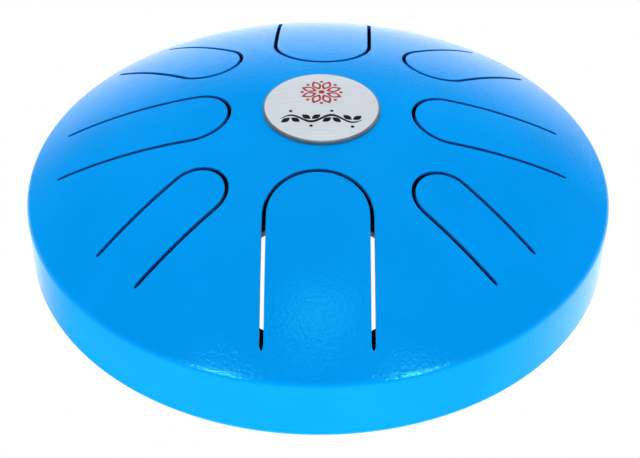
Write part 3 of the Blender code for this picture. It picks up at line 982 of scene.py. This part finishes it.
class Shader:
    """A node material with a Principled shader, built up by name."""

    def __init__(self, name):
        self.material = bpy.data.materials.new(name)
        self.material.use_nodes = True
        self.tree = self.material.node_tree
        self.principled = self.tree.nodes["Principled BSDF"]
        self.place = self.node("ShaderNodeTexCoord").outputs["Object"]

    def set(self, **values):
        """Sets the Principled shader's inputs to numbers, to colours or to what other nodes give."""
        for name, value in values.items():
            title = name.replace("_", " ").title().replace("Ior", "IOR")
            feed(self.tree, self.principled.inputs[title], value)

    def node(self, kind, **settings):
        """Adds a node. Each setting is one of its inputs, or else one of its properties."""
        made = self.tree.nodes.new(kind)
        for name, value in settings.items():
            if name in made.inputs:
                feed(self.tree, made.inputs[name], value)
            else:
                setattr(made, name, value)
        return made

    def noise(self, scale, detail=2.0, roughness=0.5, stretch=None):
        place = self.place
        if stretch:
            place = self.node("ShaderNodeMapping", Vector=place, Scale=stretch).outputs["Vector"]
        made = self.node("ShaderNodeTexNoise", Vector=place, Scale=scale, Detail=detail,
                         Roughness=roughness)
        return made.outputs["Fac"]

    def ramp(self, source, low, high, to_low, to_high):
        return map_range(self.tree, source, (low, high), (to_low, to_high))

    def mix(self, factor, colours):
        made = self.node("ShaderNodeMix", data_type="RGBA")
        feed(self.tree, made.inputs[MIX_FACTOR], factor)
        for number, colour in zip(MIX_COLOURS, colours):
            made.inputs[number].default_value = (*colour, 1)
        return made.outputs[MIXED_COLOUR]

    def bump(self, height, distance, strength=1.0, **after):
        made = self.node("ShaderNodeBump", Height=height, Distance=distance, Strength=strength, **after)
        return made.outputs["Normal"]


def coat_material():
    """Blue powder coat: satin, with a fine orange peel and a little cloudiness."""
    shader = Shader("blue_powder_coat_fine")
    cloud = shader.noise(22, 3)
    shade = shader.ramp(cloud, 0.35, 0.65, 0, 1)
    peel = shader.bump(shader.noise(620, 2), 0.17 * MM)
    shader.set(ior=1.15, specular_tint=COAT_SHEEN, base_color=shader.mix(shade, COAT_BLUES),
               roughness=shader.ramp(cloud, 0.3, 0.7, 0.17, 0.22),
               normal=shader.bump(shader.noise(200, 2), 0.05 * MM, Normal=peel))
    return shader.material


def mottled(name, cloud, span, colours, roughness, grain=None, **values):
    """A material with clouds of two colours, and of two roughnesses where it is given two.

    cloud is the scale and detail of the clouds' noise, span the part of it that goes from one colour to
    the other, and grain the scale and depth of a finer noise that roughens the surface.
    """
    shader = Shader(name)
    shade = shader.ramp(shader.noise(*cloud), *span, 0, 1)
    if isinstance(roughness, tuple):
        roughness = shader.ramp(shade, 0, 1, *roughness)
    if grain:
        values["normal"] = shader.bump(shader.noise(grain[0], 2), grain[1])
    shader.set(base_color=shader.mix(shade, colours), roughness=roughness, **values)
    return shader.material


def ink_material(name, colours):
    """Screen-printed ink, a little uneven."""
    return mottled(name, (900, 3), (0.3, 0.6), colours, 0.55, (2500, 0.01 * MM), specular_ior_level=0.12)


def cut_material():
    """The laser-cut walls, painted a darker blue for the shade inside the narrow cuts."""
    shader = Shader("cut_walls_painted_shade")
    patch = shader.ramp(shader.noise(150, 3), 0.35, 0.65, 0, 1)
    grooves = shader.noise(1.0, 2, stretch=(2500, 2500, 150))
    shader.set(roughness=0.5, specular_ior_level=0.1, base_color=shader.mix(patch, CUT_SHADE_BLUES),
               normal=shader.bump(grooves, 0.03 * MM))
    return shader.material


def brushed_material():
    """The badge's face, brushed along X, under a satin lacquer."""
    shader = Shader("brushed_steel_fine")
    lines = shader.noise(1.0, 4, 0.6, stretch=(25, 2600, 2600))
    broad = shader.noise(1.0, 2, 0.5, stretch=(12, 500, 500))
    shade = shader.ramp(lines, 0.3, 0.7, 0, 1)
    shader.set(metallic=0.3, base_color=shader.mix(shade, BRUSHED_GREYS),
               roughness=shader.ramp(broad, 0.3, 0.7, 0.38, 0.52),
               normal=shader.bump(lines, 0.01 * MM, 0.6))
    return shader.material


def edge_material():
    """The badge's turned-down rim, duller than its face, and painted a darker grey as shade on the
    turned-down edge.
    """
    shader = Shader("badge_edge_painted_shade")
    stain = shader.ramp(shader.noise(160, 3), 0.3, 0.7, 0, 1)
    lines = shader.noise(1.0, 3, 0.5, stretch=(300, 300, 4000))
    shader.set(metallic=0.6, roughness=0.5, base_color=shader.mix(stain, EDGE_SHADE_GREYS),
               normal=shader.bump(lines, 0.01 * MM))
    return shader.material


# -------- stage: lengths in metres, powers in watts

FLOOR_REACH = 6.0
FLOOR_Z = -0.1 * MM             # just under the feet
FLOOR_FRONT = 2.75              # how brightly the floor lights the drum, on the player's side and behind
FLOOR_BACK = 1.8
FLOOR_FADE = 0.5                # the one turns into the other over this length
SKY_BASE = 0.5                  # how brightly the sky lights it, and the horizon's share on top
SKY_SHARE = 0.6
GLOSSY_FLOOR = 1.7              # strengths in reflections
GLOSSY_HORIZON = 2.4
GLOSSY_ZENITH = 0.02
GLOSS_TURN = 0.25               # the floor's reflected part starts along a line turned this much
GLOSS_START = -0.13
BAND_LEAN = -1.27               # the sky's band reaches higher behind the drum
BAND_LOW = -1.36
BAND_HIGH = -0.77
OVERHEAD_SIZE = 1.6
OVERHEAD_POWER = 19.5
SHEEN_SIZE = 0.42
SHEEN_POWER = 13
SHEEN_COLOUR = (0.35, 0.95, 1)
WHITE = (1, 1, 1)
GLINT_DISTANCE = 1.55
GLINT_SIZE = 0.02
GLINT_CONE = math.radians(3.4)
GLINT_COLOUR = (1, 0.8, 0.8)
GLINT_SPOT = (47 * MM, -140 * MM)       # X and Y on the rim, mirrored for the left side
GLINTS = ((38, 50, 110), (35, 27, 290), (32, 9, 290))   # azimuth, elevation and power
SENSOR_WIDTH = 36               # mm, as is the lens
LENS = 95.8
CAMERA_PLACE = Vector((0, -0.6956, APEX_Z + 0.5002))
CAMERA_TARGET = Vector((0.00107, 0, APEX_Z - 0.0786))
CAMERA_ROLL = math.radians(0.305)       # the photo is very slightly tilted


def aimed(place, target):
    """The matrix of a camera or a lamp at a place that faces a target."""
    turn = (Vector(target) - Vector(place)).to_track_quat("-Z", "Y").to_matrix().to_4x4()
    return Matrix.Translation(place) @ turn


def make_camera():
    camera = add_object("camera", bpy.data.cameras.new("camera"))
    camera.data.sensor_width = SENSOR_WIDTH
    camera.data.lens = LENS
    camera.matrix_world = aimed(CAMERA_PLACE, CAMERA_TARGET) @ Matrix.Rotation(CAMERA_ROLL, 4, "Z")
    bpy.context.scene.camera = camera


def ray_strength(tree, seen, glossy, diffuse):
    """A strength for camera rays, one for glossy rays and one for all others: numbers or sockets."""
    path = tree.nodes.new("ShaderNodeLightPath")

    def choose(flag, chosen, otherwise):
        mix = tree.nodes.new("ShaderNodeMix")
        sockets = (MIX_FACTOR, *MIX_NUMBERS)
        for number, value in zip(sockets, (path.outputs[flag], otherwise, chosen)):
            feed(tree, mix.inputs[number], value)
        return mix.outputs[0]

    return choose("Is Camera Ray", seen, choose("Is Glossy Ray", glossy, diffuse))


def multiply_add(tree, *values):
    made = tree.nodes.new("ShaderNodeMath")
    made.operation = "MULTIPLY_ADD"
    for socket, value in zip(made.inputs, values):
        feed(tree, socket, value)
    return made.outputs[0]


def split_place(tree, output):
    place = tree.nodes.new("ShaderNodeTexCoord")
    split = tree.nodes.new("ShaderNodeSeparateXYZ")
    tree.links.new(place.outputs[output], split.inputs[0])
    return split.outputs


def make_floor():
    """A pale floor that shines evenly, like a light table, so that no shadow shows on it."""
    mesh = bpy.data.meshes.new("floor")
    around = ((-1, -1), (1, -1), (1, 1), (-1, 1))
    corners = [(x * FLOOR_REACH, y * FLOOR_REACH, FLOOR_Z) for x, y in around]
    mesh.from_pydata(corners, [], [(0, 1, 2, 3)])
    material = bpy.data.materials.new("floor")
    material.use_nodes = True
    tree = material.node_tree
    tree.nodes.clear()
    place = split_place(tree, "Object")
    glow = map_range(tree, place["Y"], (0, FLOOR_FADE), (FLOOR_FRONT, FLOOR_BACK), smooth=True)
    lean = multiply_add(tree, place["X"], GLOSS_TURN, place["Y"])
    gloss = map_range(tree, lean, (GLOSS_START, 0), (0, GLOSSY_FLOOR), smooth=True)
    shine = tree.nodes.new("ShaderNodeEmission")
    tree.links.new(ray_strength(tree, 1.0, gloss, glow), shine.inputs["Strength"])
    output = tree.nodes.new("ShaderNodeOutputMaterial")
    tree.links.new(shine.outputs[0], output.inputs["Surface"])
    material.cycles.emission_sampling = "NONE"
    mesh.materials.append(material)
    floor = add_object("floor", mesh)


def make_world():
    """White all round to the camera. To the drum, a band of light round the horizon."""
    world = bpy.data.worlds.new("studio")
    bpy.context.scene.world = world
    world.use_nodes = True
    world.cycles.sampling_method = "NONE"
    tree = world.node_tree
    place = split_place(tree, "Generated")
    lean = multiply_add(tree, place["Y"], BAND_LEAN, place["Z"])
    band = map_range(tree, lean, (BAND_LOW, BAND_HIGH), (GLOSSY_HORIZON, GLOSSY_ZENITH), smooth=True)
    soft = multiply_add(tree, band, SKY_SHARE, SKY_BASE)
    background = tree.nodes["Background"]
    background.inputs["Color"].default_value = (*WHITE, 1)
    feed(tree, background.inputs["Strength"], ray_strength(tree, 1.0, band, soft))


def make_lamp(name, kind, place, target, power, colour):
    """A light that faces its target and that the camera doesn't see."""
    lamp = add_object(name, bpy.data.lights.new(name, kind))
    lamp.data.energy = power
    lamp.data.color = colour
    lamp.matrix_world = aimed(place, target)
    lamp.visible_camera = False
    return lamp


def softbox(name, place, size, power, colour):
    """A round light that faces the drum's top."""
    lamp = make_lamp(name, "AREA", place, (0, 0, APEX_Z), power, colour)
    lamp.data.shape = "ELLIPSE"
    lamp.data.size = lamp.data.size_y = size
    return lamp


def glint(name, place, target, power):
    """A narrow spotlight for the sparkle of the coat on the rim. It reaches nothing else."""
    lamp = make_lamp(name, "SPOT", place, target, power, GLINT_COLOUR)
    lamp.data.shadow_soft_size = GLINT_SIZE
    lamp.data.spot_size = GLINT_CONE
    lamp.data.spot_blend = 1
    lamp.visible_diffuse = False


def on_sky(azimuth, elevation, distance):
    """A place over the drum, with the azimuth from the player's side towards +X."""
    a, e = math.radians(azimuth), math.radians(elevation)
    return (distance * math.sin(a) * math.cos(e), -distance * math.cos(a) * math.cos(e),
            APEX_Z + distance * math.sin(e))


def make_lights():
    overhead = softbox("overhead", on_sky(180, 74, 1.6), OVERHEAD_SIZE, OVERHEAD_POWER, WHITE)
    overhead.visible_glossy = False
    sheen = softbox("top_sheen", on_sky(0, 78, 1.5), SHEEN_SIZE, SHEEN_POWER, SHEEN_COLOUR)
    sheen.visible_diffuse = False
    for name, side in (("left", -1), ("right", 1)):
        rim = (side * GLINT_SPOT[0], GLINT_SPOT[1], UPPER_CORNER_Z)
        for number, (azimuth, elevation, power) in enumerate(GLINTS, 1):
            glint(f"{name}_glint_{number}", on_sky(side * azimuth, elevation, GLINT_DISTANCE), rim, power)


# -------- build


def main():
    # the inside: near-black primer, also painted shade for the dark interior seen through the cuts
    primer_and_shade = mottled("black_primer_and_painted_shade", (60, 4), (0.3, 0.7), PRIMER_AND_SHADE_BLACKS, 0.7, (700, 0.03 * MM),
                     specular_ior_level=0.2)
    rubber = mottled("black_rubber_fine", (90, 4), (0.35, 0.7), RUBBER_BLACKS, (0.62, 0.8),
                     (1500, 0.03 * MM), specular_ior_level=0.35)
    zinc = mottled("zinc_steel_fine", (400, 3), (0.35, 0.65), ZINC_GREYS, (0.24, 0.4), metallic=1.0)
    adhesive = mottled("adhesive_fine", (120, 3), (0.3, 0.7), SEALANT_WHITES, 0.55, (500, 0.05 * MM),
                       specular_ior_level=0.4)
    red, black = ink_material("red_ink", INK_REDS), ink_material("black_ink", INK_BLACKS)
    steel = [coat_material(), primer_and_shade, cut_material()]
    make_camera()
    make_floor()
    make_world()
    make_lights()
    bpy.context.scene.view_settings.view_transform = "Standard"
    make_upper_shell(steel)
    for tongue in TONGUES:
        make_tongue(tongue, steel)
    make_lower_shell(steel)
    make_trim([rubber])
    make_badge(brushed_material(), edge_material())
    make_print("badge_rosette_print", rosette_shapes(), red)
    make_print("badge_vine_print", vine_shapes(), black)
    make_feet(rubber, zinc)
    for name in ("seam_sealant", "badge_adhesive"):
        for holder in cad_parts[name].material_slots:
            holder.material = adhesive


main()
